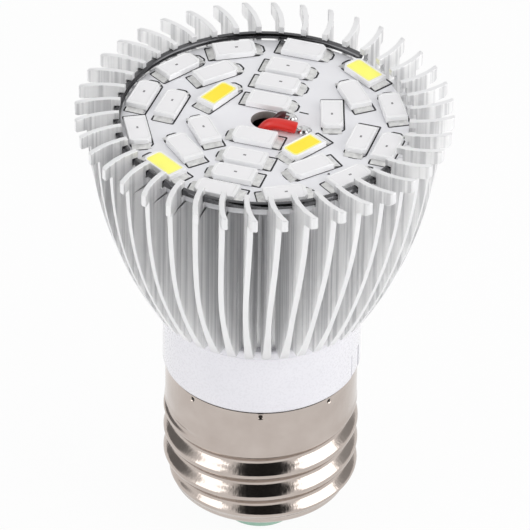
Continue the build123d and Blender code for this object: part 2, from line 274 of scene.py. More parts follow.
area_lamp("lamp_right", place=(0.34, -0.14, 0.2), size=(0.34, 0.3), power=0.6)
area_lamp("lamp_left", place=(-0.33, -0.18, 0.16), size=(0.2, 0.3), power=0.3)
front_lamp = area_lamp("lamp_front", place=(0.03, -0.5, 0.2), size=(0.4, 0.3), power=0.3)
front_lamp.visible_glossy = False

# %% Floor
FLOOR_DROP = 0.4 * MM
FLOOR_SIDE = 3.0
FLOOR_PAINT = (0.9, 0.9, 0.9, 1)
FLOOR_WHITENED = 0.94
floor_graph = new_graph("floor_white")
floor_graph.set(Base_Color=FLOOR_PAINT, Roughness=0.8)
painted = Socket(floor_graph, floor_graph.shader.outputs[0])
seen_white = floor_graph.node("ShaderNodeEmission", values={"Color": WHITE, "Strength": 1.0})
camera_ray, glossy_ray, through_ray = floor_graph.ray_kinds()
seen_share = (camera_ray + glossy_ray + through_ray) * FLOOR_WHITENED
shown = floor_graph.mix_shader(seen_share, painted, seen_white)
floor_graph.tree.links.new(shown.link, floor_graph.tree.nodes["Material Output"].inputs[0])

half = FLOOR_SIDE / 2
floor_outline = ((-half, -half), (half, -half), (half, half), (-half, half))
floor_mesh = bpy.data.meshes.new("floor")
floor_mesh.from_pydata([(x, y, -FLOOR_DROP) for x, y in floor_outline], [], [(0, 1, 2, 3)])
floor_mesh.materials.append(floor_graph.material)
floor = bpy.data.objects.new("floor", floor_mesh)
scene.collection.objects.link(floor)

# %% [markdown]
# Every metal here is one idea with different numbers: a high Metallic value, a colour close to the
# metal's own, and a fine grain that follows how it was made. The turned faces carry rings from the
# lathe, the extruded fin sides carry lines along the bulb, and the plated cap is nearly a mirror.
# Two tints are painted light instead: the near-black metal of the stake marks and the inside of the
# rim is painted shade, and the ring's spring steel is far darker than steel's own, a painted dark
# reflection.

# %% Metal finishes
def turned_aluminium():
    graph = new_graph("turned_aluminium")
    place = graph.place()
    x, y, z = graph.split(place)
    distance = (x * x + y * y) ** 0.5
    turned = graph.node("ShaderNodeCombineXYZ", values={0: distance, 1: z})
    rings = graph.noise(turned, scale=9000, detail=2)
    cloud = graph.noise(place, scale=160, detail=3)
    graph.set(
        Base_Color=graph.mix(cloud, colour(232, 232, 234), colour(248, 248, 248)),
        Metallic=0.6,
        Roughness=0.34 + rings * 0.16,
        Normal=graph.bump(rings, strength=0.25, distance=0.00003),
    )
    return graph.material


def extruded_aluminium():
    graph = new_graph("extruded_aluminium")
    place = graph.place()
    lines = graph.noise(graph.drawn_out(place, 0.012), scale=5200, detail=2)
    bands = graph.noise(graph.drawn_out(place, 0.015), scale=1500, detail=4)
    streaks = graph.smooth(bands, low=0.35, high=0.6)
    graph.set(
        Base_Color=graph.mix(streaks, colour(225, 225, 226), colour(254, 254, 254)),
        Metallic=1.0,
        Roughness=0.5 + lines * 0.3,
        Normal=graph.bump(lines, strength=0.6, distance=0.00008),
    )
    return graph.material


def plated(name, tint_low, tint_high, roughness, mottle=240):
    graph = new_graph(name)
    place = graph.place()
    cloud = graph.noise(place, scale=mottle, detail=4)
    scratches = graph.noise(graph.drawn_out(place, 0.03), scale=2200, detail=2)
    graph.set(
        Base_Color=graph.mix(cloud, tint_low, tint_high),
        Metallic=1.0,
        Roughness=roughness + scratches * 0.1,
        Normal=graph.bump(scratches, strength=0.35, distance=0.00005),
    )
    return graph.material


turned_metal = turned_aluminium()
extruded_metal = extruded_aluminium()
nickel = plated("nickel_plate", colour(178, 166, 158), colour(204, 194, 187), roughness=0.1)
# Painted shade: near-black metal laid into the stake marks and inside the rim.
stake_shadow = plated("stake_shadow", colour(40, 36, 34), colour(60, 54, 50), roughness=0.3)
# Painted dark reflection: the ring's tint is set far darker than spring steel's own.
ring_steel = plated("spring_steel_painted_dark", colour(70, 70, 72), colour(112, 112, 114), roughness=0.12)
tinned = plated("tinned_tabs", colour(176, 176, 176), colour(250, 250, 248), roughness=0.28, mottle=1500)
solder_metal = plated("solder", colour(180, 180, 182), colour(226, 226, 226), roughness=0.2)

# %% [markdown]
# The plastics and the board's white mask are gloss over a nearly even colour. A faint mottle in
# colour and roughness keeps them from looking painted by a computer, and a thin clear coat gives
# the sharp highlight of moulded plastic.

# %% Plastic, board and resin finishes
def moulded(name, tint_low, tint_high, roughness=0.3, coat=0.4, grain=0.1, painted_glow=0.0):
    """After the two tints come roughness, clear coat, depth of the grain, and a faint painted glow."""
    graph = new_graph(name)
    place = graph.place()
    cloud = graph.noise(place, scale=190, detail=4)
    fine = graph.noise(place, scale=3400, detail=2)
    graph.set(
        Base_Color=graph.mix(cloud, tint_low, tint_high),
        Roughness=roughness + fine * 0.12,
        Coat_Weight=coat,
        Coat_Roughness=0.12,
        Normal=graph.bump(fine, strength=grain, distance=0.00002),
    )
    # Painted light: an emission that makes an unlit part glow faintly.
    if painted_glow:
        graph.set(Emission_Color=tint_high, Emission_Strength=painted_glow)
    return graph.material


white_mask = moulded("white_mask", colour(246, 246, 251), colour(252, 252, 255), 0.25, 0.5)
board_core = moulded("board_edge", colour(206, 206, 210), colour(228, 228, 230), 0.45, 0.1)
hole_wall = moulded("hole_wall", colour(140, 138, 136), colour(176, 174, 170), 0.5, 0.1)
silk_ink = moulded("black_ink", colour(24, 24, 28), colour(40, 40, 46), 0.5, 0.0)
# Painted light: the three phosphor finishes glow faintly by emission, though the LEDs are off.
phosphor_rim = moulded("phosphor_rim", colour(253, 246, 128), colour(255, 251, 168), 0.4, 0.1, 0.2, 0.12)
led_body_white = moulded("led_body", colour(250, 250, 251), colour(254, 254, 255), 0.28, 0.3, 0.08)
led_resin_clear = moulded("led_resin", colour(249, 248, 250), colour(254, 253, 255), 0.16, 0.8, 0.04)
phosphor_deep = moulded("phosphor_deep", colour(252, 222, 16), colour(255, 236, 60), 0.4, 0.1, 0.2, 0.17)
phosphor_pale = moulded("phosphor_pale", colour(254, 248, 80), colour(255, 255, 130), 0.4, 0.1, 0.2, 0.17)
die_grey = moulded("led_die", colour(110, 108, 112), colour(150, 148, 150), 0.3, 0.2)
collar_plastic = moulded("collar_plastic", colour(226, 225, 231), colour(236, 235, 240), 0.22, 0.6, 0.06)
insulator_green = moulded("insulator_green", colour(140, 180, 160), colour(168, 202, 186), 0.3, 0.5)
red_pvc = moulded("red_insulation", colour(214, 26, 20), colour(230, 44, 34), 0.34, 0.3)
dark_pvc = moulded("dark_insulation", colour(58, 26, 30), colour(84, 38, 42), 0.36, 0.3)
laminate = moulded("driver_laminate", colour(36, 92, 52), colour(50, 112, 66), 0.4, 0.3)
black_epoxy = moulded("black_epoxy", colour(22, 22, 24), colour(34, 34, 38), 0.5, 0.1)
brown_epoxy = moulded("film_box", colour(150, 72, 34), colour(172, 90, 46), 0.3, 0.5)
ferrite = moulded("ferrite", colour(48, 46, 48), colour(66, 64, 66), 0.6, 0.0, 0.3)
can_sleeve = moulded("capacitor_sleeve", colour(22, 28, 60), colour(34, 42, 80), 0.3, 0.4)
ceramic_blue = moulded("resistor_coat", colour(110, 160, 170), colour(130, 180, 188), 0.4, 0.3)

# %% [markdown]
# `mesh_piece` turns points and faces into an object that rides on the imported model, with a list
# that says which finish each face wears. `lathe` spins a closed profile, and `soften` rounds the
# profile's corners first, because no real edge is sharp. Loops of points are joined in two ways,
# one above the other or one beside the other round the axis, and both have a helper here.

# %% Mesh helpers
def mesh_piece(name, points, faces, finishes, finish_of=None, smooth_angle=35, stands_for=(), slot=None):
    mesh = bpy.data.meshes.new(name)
    mesh.from_pydata([tuple(c * MM for c in point) for point in points], [], faces)
    for finish in finishes:
        mesh.materials.append(finish)
    if finish_of:
        for polygon, index in zip(mesh.polygons, finish_of):
            polygon.material_index = index
    mesh.validate()
    mesh.shade_smooth()
    mesh.set_sharp_from_angle(angle=math.radians(smooth_angle))
    mesh.update()
    piece = bpy.data.objects.new(name, mesh)
    scene.collection.objects.link(piece)
    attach(piece, "root")
    if stands_for:
        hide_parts(*stands_for)
    return piece


def shifted(faces, offset):
    """The same faces for points that come later in the list."""
    return [tuple(i + offset for i in face) for face in faces]


def wall_faces(levels, count):
    """Joins rings of `count` points that lie one above the other."""
    faces = []
    for level in range(levels - 1):
        low = level * count
        for i in range(count):
            j = (i + 1) % count
            faces.append((low + i, low + j, low + count + j, low + count + i))
    return faces


def end_faces(levels, count):
    """The faces that close the first and the last of such rings."""
    start = (levels - 1) * count
    return [tuple(range(count))[::-1], tuple(range(start, start + count))]


def spun_faces(steps, count):
    """Joins closed profiles of `count` points that stand one beside the other round the axis."""
    faces = []
    for step in range(steps):
        here = step * count
        there = ((step + 1) % steps) * count
        for i in range(count):
            j = (i + 1) % count
            faces.append((here + i, there + i, there + j, here + j))
    return faces


def lathe(profile, segments=160):
    points = []
    for step in range(segments):
        angle = 2 * math.pi * step / segments
        for radius, z in profile:
            points.append((radius * math.cos(angle), radius * math.sin(angle), z))
    return points, spun_faces(segments, len(profile))


def soften(corners, radius=0.08, steps=3):
    """Rounds each corner of a closed profile with a short curve."""
    longest_share = 0.45
    result = []
    count = len(corners)
    for index, corner in enumerate(corners):
        here = Vector(corner)
        before = Vector(corners[index - 1]) - here
        after = Vector(corners[(index + 1) % count]) - here
        reach = min(radius, before.length * longest_share, after.length * longest_share)
        start = here + before.normalized() * reach
        end = here + after.normalized() * reach
        for step in range(steps + 1):
            t = step / steps
            result.append(tuple(start * (1 - t) ** 2 + here * 2 * t * (1 - t) + end * t**2))
    return result


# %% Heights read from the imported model
def box_mm(node):
    low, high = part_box(node)
    return low / MM, high / MM


sink_low, sink_high = box_mm("heat_sink")
board_low, board_high = box_mm("led_board")
shell_low, shell_high = box_mm("screw_shell")
ring_low, ring_high = box_mm("retaining_ring")
TOP = sink_high.z
SINK_FOOT = sink_low.z
BOARD_BOTTOM = board_low.z
BOARD_TOP = board_high.z
RING_Z = (ring_low.z + ring_high.z) / 2
RIM = shell_high.z
FOOT = shell_low.z
print("levels", [round(v, 2) for v in (FOOT, RIM, SINK_FOOT, BOARD_BOTTOM, BOARD_TOP, RING_Z, TOP)])

# %% [markdown]
# ## The heat sink
#
# On the real bulb this is a slice of aluminium extrusion, turned on a lathe. A fin has one outline
# all the way up, and the lathe cuts it off at a different radius at each height. So the mesh is
# built the same way: `fin_ring` walks round one fin's outline between an inner and an outer radius,
# and rings at many heights are joined. The step under the lip, the pocket for the board and the
# groove for the ring are places where a radius jumps.

# %% Fin section
FIN_COUNT = 40
FIN_FIRST_ANGLE = 2.7
FIN_THICKNESS = 0.72
FIN_ROOT_THICKNESS = 1.5
FIN_OVERLAP = 0.5
CORE_RADIUS = 12.3
CORE_BORE = 10.6
BOARD_RADIUS = board_high.x
POCKET_PLAY = 0.1
POCKET_RADIUS = BOARD_RADIUS + POCKET_PLAY
BEND_INSIDE_POCKET = 0.3
BEND_START = POCKET_RADIUS - BEND_INSIDE_POCKET
BEND_RADIUS = 11.5
FIN_INNER = CORE_RADIUS - FIN_OVERLAP
SINK_RADIUS = 25.0
STRAIGHT = BEND_START - FIN_INNER


def fin_side(travel, side, inset):
    """A point on the fin's flank, `travel` mm out from the root; side is 1 for the hollow flank."""
    if travel <= STRAIGHT:
        x = FIN_INNER + travel
        share = min(1, (BEND_START - x) / (BEND_START - CORE_RADIUS))
        half = (FIN_THICKNESS + (FIN_ROOT_THICKNESS - FIN_THICKNESS) * max(0, share)) / 2
        return Vector((x, side * (half - inset)))
    angle = (travel - STRAIGHT) / BEND_RADIUS
    reach = BEND_RADIUS - side * (FIN_THICKNESS / 2 - inset)
    return Vector((BEND_START + reach * math.sin(angle), BEND_RADIUS - reach * math.cos(angle)))


LONGEST_BEND = 10.0
HALVINGS = 28


def travel_at(radius, side, inset):
    """How far out along the flank a radius is met, found by halving the stretch that holds it."""
    low, high = 0.0, STRAIGHT + LONGEST_BEND
    for _ in range(HALVINGS):
        middle_travel = (low + high) / 2
        if fin_side(middle_travel, side, inset).length < radius:
            low = middle_travel
        else:
            high = middle_travel
    return (low + high) / 2


# %% Fin outline
SIDE_POINTS = 13
CORNER_POINTS = 4


def fin_end(radius, corner, inset):
    """Points across a cut end, from the outer flank to the hollow one, with rounded corners."""
    points = []
    corners = {side: fin_side(travel_at(radius, side, inset), side, inset) for side in (-1, 1)}
    across = (corners[1] - corners[-1]).normalized()
    for side in (-1, 1):
        start = fin_side(travel_at(radius, side, inset) - corner, side, inset)
        end = corners[side] - across * side * corner
        curve = []
        for step in range(CORNER_POINTS):
            t = step / (CORNER_POINTS - 1)
            curve.append(start * (1 - t) ** 2 + corners[side] * 2 * t * (1 - t) + end * t**2)
        points += curve if side < 0 else curve[::-1]
    return points


def fin_ring(inner, outer, corner, inset):
    """One closed outline of the fin, cut off at two radii."""
    ring = []
    for side, reverse in ((-1, False), (1, True)):
        start = travel_at(inner, side, inset) if inner > CORE_RADIUS else 0.0
        stop = travel_at(outer, side, inset) - corner
        spread = [start + (stop - start) * i / (SIDE_POINTS - 1) for i in range(SIDE_POINTS)]
        flank = [fin_side(t, side, inset) for t in spread]
        if reverse:
            ring += flank[::-1]
        else:
            ring += flank[:-1]
            ring += fin_end(outer, corner, inset)
            ring = ring[:-1]
    return ring


# %% Turned flank under the lip
LIP_HEIGHT = 1.9
LIP_Z = TOP - LIP_HEIGHT
UNDERCUT = 1.6
FOOT_RADIUS = 14.8
FLANK_BEND = 60.3


def flank_radius(z):
    """The long turned curve under the lip, an arc through the undercut and the foot."""
    undercut = Vector((SINK_RADIUS - UNDERCUT, LIP_Z))
    foot = Vector((FOOT_RADIUS, SINK_FOOT))
    chord = foot - undercut
    middle_point = (undercut + foot) / 2
    rise = math.sqrt(FLANK_BEND**2 - (chord.length / 2) ** 2)
    normal = Vector((chord.y, -chord.x)).normalized()
    centre = middle_point + normal * rise
    if centre.x > 0:
        centre = middle_point - normal * rise
    return centre.x + math.sqrt(FLANK_BEND**2 - (z - centre.y) ** 2)


# %% Fin levels under the lip
GROOVE_DEPTH = 0.85
GROOVE_RADIUS = POCKET_RADIUS + GROOVE_DEPTH
GROOVE_HALF = 0.55
GROOVE_LOW = RING_Z - GROOVE_HALF
GROOVE_HIGH = RING_Z + GROOVE_HALF
EDGE = 0.05
FLANK_CORNER = 0.03
FLANK_STEPS = 16
UNDERCUT_STEP = 0.02


def flank_level(z, inner, turned_at):
    """Height, inner radius, outer radius, corner radius and inset of one level under the lip."""
    return (z, inner, flank_radius(turned_at), FLANK_CORNER, 0)


levels = [(SINK_FOOT, FIN_INNER, flank_radius(SINK_FOOT) - EDGE, FLANK_CORNER, EDGE)]
levels.append(flank_level(SINK_FOOT + EDGE, FIN_INNER, SINK_FOOT + EDGE))
for step in range(1, FLANK_STEPS + 1):
    z = SINK_FOOT + (BOARD_BOTTOM - SINK_FOOT) * step / FLANK_STEPS
    levels.append(flank_level(z, FIN_INNER, z))
levels += [
    flank_level(BOARD_BOTTOM, POCKET_RADIUS + EDGE, BOARD_BOTTOM),
    flank_level(BOARD_BOTTOM + EDGE, POCKET_RADIUS, BOARD_BOTTOM),
    flank_level(GROOVE_LOW - EDGE, POCKET_RADIUS, GROOVE_LOW),
    flank_level(GROOVE_LOW, POCKET_RADIUS + EDGE, GROOVE_LOW),
    flank_level(GROOVE_LOW, GROOVE_RADIUS, GROOVE_LOW),
    flank_level(LIP_Z - UNDERCUT_STEP, GROOVE_RADIUS, LIP_Z),
]

# %% Fin levels of the lip
LIP_ROUND = 0.4
LIP_ROUND_STEPS = 4
LIP_SHORT = 0.02
LIP_RADIUS = SINK_RADIUS - LIP_SHORT
START_CORNER, ROUND_CORNER, LIP_CORNER = 0.2, 0.24, 0.26

levels.append((LIP_Z, GROOVE_RADIUS, SINK_RADIUS - LIP_ROUND - LIP_SHORT, START_CORNER, 0))
for step in range(1, LIP_ROUND_STEPS + 1):
    angle = math.radians(90 * step / LIP_ROUND_STEPS)
    z = LIP_Z + LIP_ROUND * (1 - math.cos(angle))
    outer = SINK_RADIUS - LIP_ROUND * (1 - math.sin(angle)) - LIP_SHORT
    levels.append((z, GROOVE_RADIUS, outer, ROUND_CORNER, 0))
levels += [
    (GROOVE_HIGH, GROOVE_RADIUS, LIP_RADIUS, LIP_CORNER, 0),
    (GROOVE_HIGH, POCKET_RADIUS + EDGE, LIP_RADIUS, LIP_CORNER, 0),
    (GROOVE_HIGH + EDGE, POCKET_RADIUS, LIP_RADIUS, LIP_CORNER, 0),
    (TOP - EDGE, POCKET_RADIUS, LIP_RADIUS, LIP_CORNER, 0),
    (TOP, POCKET_RADIUS + EDGE, LIP_RADIUS - EDGE, ROUND_CORNER, EDGE),
]
print("fin levels", len(levels))

# %% One fin
TURNED, EXTRUDED = 0, 1
one_fin = []
for z, inner, outer, corner, inset in levels:
    one_fin.append([(p.x, p.y, z) for p in fin_ring(inner, outer, corner, inset)])
ring_size = len(one_fin[0])
LAST_CORNER = SIDE_POINTS + 2 * CORNER_POINTS - 3
SAME_HEIGHT = 1e-6


def fin_finish(level, i):
    """Extruded along the fin's two sides, turned where the lathe has cut."""
    flat = abs(one_fin[level][0][2] - one_fin[level + 1][0][2]) < SAME_HEIGHT
    on_side = i < SIDE_POINTS - 1 or LAST_CORNER < i < ring_size - 1
    return EXTRUDED if on_side and not flat else TURNED


fin_faces = wall_faces(len(one_fin), ring_size)
fin_finishes = [fin_finish(index // ring_size, index % ring_size) for index in range(len(fin_faces))]
fin_faces += end_faces(len(one_fin), ring_size)
fin_finishes += [TURNED, TURNED]

# %% Heat sink mesh
points, faces, finish_of = [], [], []
for fin in range(FIN_COUNT):
    angle = math.radians(FIN_FIRST_ANGLE + 360 * fin / FIN_COUNT)
    cosine, sine = math.cos(angle), math.sin(angle)
    faces += shifted(fin_faces, len(points))
    finish_of += fin_finishes
    for ring in one_fin:
        points += [(x * cosine - y * sine, x * sine + y * cosine, z) for x, y, z in ring]
core = soften(
    [
        (CORE_RADIUS, SINK_FOOT),
        (CORE_RADIUS, BOARD_BOTTOM),
        (CORE_BORE, BOARD_BOTTOM),
        (CORE_BORE, SINK_FOOT),
    ]
)
core_points, core_faces = lathe(core)
faces += shifted(core_faces, len(points))
points += core_points
finish_of += [EXTRUDED] * len(core_faces)
mesh_piece(
    "finned_heat_sink",
    points,
    faces,
    [turned_metal, extruded_metal],
    finish_of,
    stands_for=("heat_sink",),
    slot="turned_aluminium",
)
print("heat sink faces", len(faces))

# %% [markdown]
# ## The board and its printed outlines
#
# The board is a thin white disc with a soft edge. The black outline round each LED is screen-printed
# ink, which stands only a few hundredths of a millimetre proud. Ink drawn as a thin raised ribbon
# stays crisp at any zoom and needs no picture.

# %% Board
WIRE_HOLE = 2.0
WIRE_HOLE_SHIFT = (0.2, 0.55)
NEAR_HOLE = 2 * WIRE_HOLE
BOARD_ROUND = 0.09
MASK_DEPTH = 0.06
MASK, CUT_EDGE, HOLE_WALL = range(3)
board_profile = soften(
    [
        (WIRE_HOLE, BOARD_BOTTOM),
        (BOARD_RADIUS, BOARD_BOTTOM),
        (BOARD_RADIUS, BOARD_TOP),
        (WIRE_HOLE, BOARD_TOP),
    ],
    BOARD_ROUND,
)
board_points, board_faces = lathe(board_profile, 192)
board_points = [
    (x + WIRE_HOLE_SHIFT[0], y + WIRE_HOLE_SHIFT[1], z) if math.hypot(x, y) < NEAR_HOLE else (x, y, z)
    for x, y, z in board_points
]


def board_finish(face):
    if min(board_points[i][2] for i in face) > BOARD_TOP - MASK_DEPTH:
        return MASK
    reach = max(math.hypot(*board_points[i][:2]) for i in face)
    return HOLE_WALL if reach < NEAR_HOLE else CUT_EDGE


mesh_piece(
    "led_board_disc",
    board_points,
    board_faces,
    [white_mask, board_core, hole_wall],
    [board_finish(face) for face in board_faces],
    stands_for=("led_board",),
    slot="white_mask",
)

# %% Ink ribbons
INK_WIDTH = 0.24
INK_HEIGHT = 0.02
LEAST_TURN_COSINE = 0.5
ink_points, ink_faces = [], []


def ink_line(path, closed=False, width=INK_WIDTH):
    """Adds one flat ribbon along a path in the board's plane."""
    count = len(path)
    base = len(ink_points)
    for index, here in enumerate(path):
        here = Vector(here)
        before = Vector(path[index - 1]) if closed or index else here
        after = Vector(path[(index + 1) % count]) if closed or index < count - 1 else here
        along = (after - before).normalized()
        across = Vector((-along.y, along.x))
        into = (here - before).normalized() if (here - before).length else along
        stretch = 1 / max(LEAST_TURN_COSINE, math.cos(into.angle(along))) if into.length else 1
        for side in (1, -1):
            edge = here + across * side * width / 2 * stretch
            ink_points.append((edge.x, edge.y, BOARD_TOP + INK_HEIGHT))
    for index in range(count if closed else count - 1):
        here = base + 2 * index
        there = base + 2 * ((index + 1) % count)
        ink_faces.append((here, here + 1, there + 1, there))


# %% [markdown]
# ## The LEDs
#
# Each LED is a white moulded body with a clear or yellow window, and tinned tabs soldered at both
# ends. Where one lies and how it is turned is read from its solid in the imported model: the longest
# edge gives the turn, and the end with its corners cut is the marked one.

# %% Where each LED lies
LED_LENGTH = 5.7
LED_WIDTH = 3.0
LED_CORNER = 0.55
PALE_LEDS = (5, 11)
DEEP_LEDS = (20, 24)
UNMARKED_LEDS = (4, 10, 15, 16, 21, 23, 25, 28)
EDGE_MATCH = 0.15
END_DEPTH = 0.1
CUT_LOSS = 0.3


def led_place(node):
    """The middle of one LED and the unit vector towards its marked end."""
    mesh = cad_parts[node].data
    flat = [Vector((v.co.x, v.co.y)) / MM for v in mesh.vertices]
    edges = [flat[e.vertices[1]] - flat[e.vertices[0]] for e in mesh.edges]
    long_side = LED_LENGTH - LED_CORNER
    along = [edge for edge in edges if abs(edge.length - long_side) < EDGE_MATCH][0].normalized()
    across = Vector((-along.y, along.x))
    low_along = min(p.dot(along) for p in flat)
    high_along = max(p.dot(along) for p in flat)
    low_across = min(p.dot(across) for p in flat)
    high_across = max(p.dot(across) for p in flat)
    middle_point = along * (low_along + high_along) / 2 + across * (low_across + high_across) / 2
    high_end = [p.dot(across) for p in flat if p.dot(along) > high_along - END_DEPTH]
    cut_at_high = max(high_end) - min(high_end) < LED_WIDTH - CUT_LOSS
    return middle_point, along if cut_at_high else -along


# %% Outlines and stacks
def rounded_outline(length, width, radius, cut, steps=3):
    """A rectangle with softened corners; the two at +x are cut off."""
    half_length, half_width = length / 2, width / 2
    corners = [
        (-half_length, -half_width),
        (half_length - cut, -half_width),
        (half_length, -half_width + cut),
        (half_length, half_width - cut),
        (half_length - cut, half_width),
        (-half_length, half_width),
    ]
    return soften(corners, radius, steps)


def stack(rings, heights, base=True, lid=True):
    """Joins outlines of equal length at the given heights into one skin."""
    count = len(rings[0])
    points = [(x, y, z) for ring, z in zip(rings, heights) for x, y in ring]
    faces = wall_faces(len(rings), count)
    bottom, top = end_faces(len(rings), count)
    if base:
        faces.append(bottom)
    if lid:
        faces.append(top)
    return points, faces


def block(low, high):
    outline = [(low[0], low[1]), (high[0], low[1]), (high[0], high[1]), (low[0], high[1])]
    return stack([outline, outline], [low[2], high[2]])


# %% LED body and window
BODY, WINDOW_FILL, DIE, TAB, WINDOW_BORDER = range(5)
BODY_HEIGHT = 0.9
BODY_FOOT = 0.12
BODY_EDGE = 0.07
BODY_ROUND = 0.08
BODY_SHRINKS = (0, 0.08, 0.2)
RIM_WIDTH = 0.12
RIM_ROUND = 0.2
RIM_CORNER = 0.3
WINDOW = (4.7, 2.4)
WINDOW_ROUND = 0.18
WINDOW_CORNER = 0.26
BORDER_WIDTH = 0.44
RESIN_SCALES = (1, 0.7, 0.35)
WINDOW_DEPTH = 0.06
RESIN_DEPTHS = (0.05, 0.045, 0.04)


def window_outline(shrink, scale=1):
    length = (WINDOW[0] - shrink) * scale
    width = (WINDOW[1] - shrink) * scale
    return rounded_outline(length, width, WINDOW_ROUND * scale, WINDOW_CORNER * scale)


def led_body():
    """The body, the ledge down to its window, the window's border and the resin, bulged a little."""
    outlines = [rounded_outline(LED_LENGTH - s, LED_WIDTH - s, BODY_ROUND, LED_CORNER) for s in BODY_SHRINKS]
    rim = rounded_outline(WINDOW[0] + RIM_WIDTH, WINDOW[1] + RIM_WIDTH, RIM_ROUND, RIM_CORNER)
    dip = BODY_HEIGHT - WINDOW_DEPTH
    resin_heights = [BODY_HEIGHT - depth for depth in RESIN_DEPTHS]
    body = stack(outlines, [BODY_FOOT, BODY_HEIGHT - BODY_EDGE, BODY_HEIGHT], lid=False)
    ledge_rings = [outlines[-1], rim, window_outline(0)]
    ledge = stack(ledge_rings, [BODY_HEIGHT, BODY_HEIGHT, dip], base=False, lid=False)
    border_rings = [window_outline(0), window_outline(BORDER_WIDTH)]
    border = stack(border_rings, [dip, resin_heights[0]], base=False, lid=False)
    resin = stack([window_outline(BORDER_WIDTH, s) for s in RESIN_SCALES], resin_heights, base=False)
    return [(*body, BODY), (*ledge, BODY), (*border, WINDOW_BORDER), (*resin, WINDOW_FILL)]


# %% LED dies
DIE_LENGTH = 0.4
DIE_WIDTH = 0.26
DIE_LOW = BODY_HEIGHT - RESIN_DEPTHS[0]
DIE_HIGH = BODY_HEIGHT - 0.025
DIE_SWAY = 0.35
DIE_TURN = 2.4
DIE_APART = 0.28
PAIR_EVERY = 5


def led_dies(number):
    """The small dark dies under the resin, one or a pair, each LED's a little off the middle."""
    shift = DIE_SWAY * math.sin(number * DIE_TURN)
    dies = []
    for offset in (0.0,) if number % PAIR_EVERY else (-DIE_APART, DIE_APART):
        low = (shift + offset - DIE_LENGTH / 2, -DIE_WIDTH / 2, DIE_LOW)
        high = (shift + offset + DIE_LENGTH / 2, DIE_WIDTH / 2, DIE_HIGH)
        dies.append((*block(low, high), DIE))
    return dies


# %% LED tabs
TAB_WIDTH = 2.5
TAB_ROOT, TAB_ROOT_HEIGHT = 0.25, 0.34
TAB_KNEE, TAB_KNEE_HEIGHT = 0.4, 0.16
TAB_REACH, TAB_TIP_HEIGHT = 0.85, 0.06


def led_tab(side):
    """A soldered tab, one wedge that slopes from the body down to the board."""
    end = LED_LENGTH / 2
    inner, knee, tip = side * (end - TAB_ROOT), side * (end + TAB_KNEE), side * (end + TAB_REACH)
    wedge = [(inner, 0.0), (tip, 0.0), (tip, TAB_TIP_HEIGHT), (knee, TAB_KNEE_HEIGHT)]
    wedge.append((inner, TAB_ROOT_HEIGHT))
    tab_points = [(x, y, z) for y in (-TAB_WIDTH / 2, TAB_WIDTH / 2) for x, z in wedge]
    count = len(wedge)
    tab_faces = [tuple(range(count)), tuple(range(count, 2 * count))[::-1]]
    for i in range(count):
        j = (i + 1) % count
        tab_faces.append((i, i + count, j + count, j))
    if side > 0:
        tab_faces = [face[::-1] for face in tab_faces]
    return tab_points, tab_faces, TAB


def led_parts(number):
    """Points, faces and finish of one LED's parts about its middle, +x towards the marked end."""
    parts = led_body()
    if number not in UNMARKED_LEDS + PALE_LEDS + DEEP_LEDS:
        parts += led_dies(number)
    return parts + [led_tab(-1), led_tab(1)]


# %% LEDs in their places
def to_board(local, middle_point, along, lift=0.0):
    across = Vector((-along.y, along.x))
    spot = middle_point + along * local[0] + across * local[1]
    return (spot.x, spot.y, lift + (local[2] if len(local) > 2 else 0))


INK_SHIFT = Vector((0.12, 0.16))
INK_LENGTH = 7.75
INK_BOX_WIDTH = 2.95
ink_box = rounded_outline(INK_LENGTH, INK_BOX_WIDTH, radius=0.12, cut=0.95, steps=2)
for number in range(1, 29):
    node = f"led_{number:02d}"
    middle_point, along = led_place(node)
    led_points, led_faces, led_finish = [], [], []
    for part_points, part_faces, finish in led_parts(number):
        led_faces += shifted(part_faces, len(led_points))
        led_points += [to_board(p, middle_point, along, BOARD_TOP) for p in part_points]
        led_finish += [finish] * len(part_faces)
    if number in PALE_LEDS:
        fill, slot = phosphor_pale, "led_pale_phosphor"
    elif number in DEEP_LEDS:
        fill, slot = phosphor_deep, "led_deep_phosphor"
    else:
        fill, slot = led_resin_clear, "led_white_body"
    border_fill = led_resin_clear if fill is led_resin_clear else phosphor_rim
    mesh_piece(
        f"led_lamp_{number:02d}",
        led_points,
        led_faces,
        [led_body_white, fill, die_grey, tinned, border_fill],
        led_finish,
        smooth_angle=30,
        stands_for=(node,),
        slot=slot,
    )
    ink_line([to_board(p, middle_point + INK_SHIFT, along)[:2] for p in ink_box], closed=True)
mark_by_hole = [(4.6, 2.4), (5.8, 1.95)]
mark_by_rim = [(8.3, -11.4), (8.6, -11.45)]
ink_line(mark_by_hole)
ink_line(mark_by_rim, width=0.3)
mesh_piece("printed_outlines", ink_points, ink_faces, [silk_ink], slot="white_mask")

# %% [markdown]
# ## Snap ring and leads
#
# The ring is round spring wire, open for about a fifth of the circle. A sweep carries a circle along
# its centre line. The same sweep makes the two LED leads, with a thin bare core that sticks out of
# the insulation into a small heap of solder.

# %% Sweep
def sweep(path, radii, sides=24):
    """A closed tube along 3-D points; `radii` is one number or one for each point."""
    path = [Vector(p) for p in path]
    if not hasattr(radii, "__len__"):
        radii = [radii] * len(path)
    points = []
    tangent = (path[1] - path[0]).normalized()
    normal = tangent.orthogonal().normalized()
    for index, here in enumerate(path):
        before = path[max(0, index - 1)]
        after = path[min(len(path) - 1, index + 1)]
        tangent = (after - before).normalized()
        normal = (normal - tangent * normal.dot(tangent)).normalized()
        binormal = tangent.cross(normal)
        for side in range(sides):
            angle = 2 * math.pi * side / sides
            spot = here + (normal * math.cos(angle) + binormal * math.sin(angle)) * radii[index]
            points.append(tuple(spot))
    return points, wall_faces(len(path), sides) + end_faces(len(path), sides)


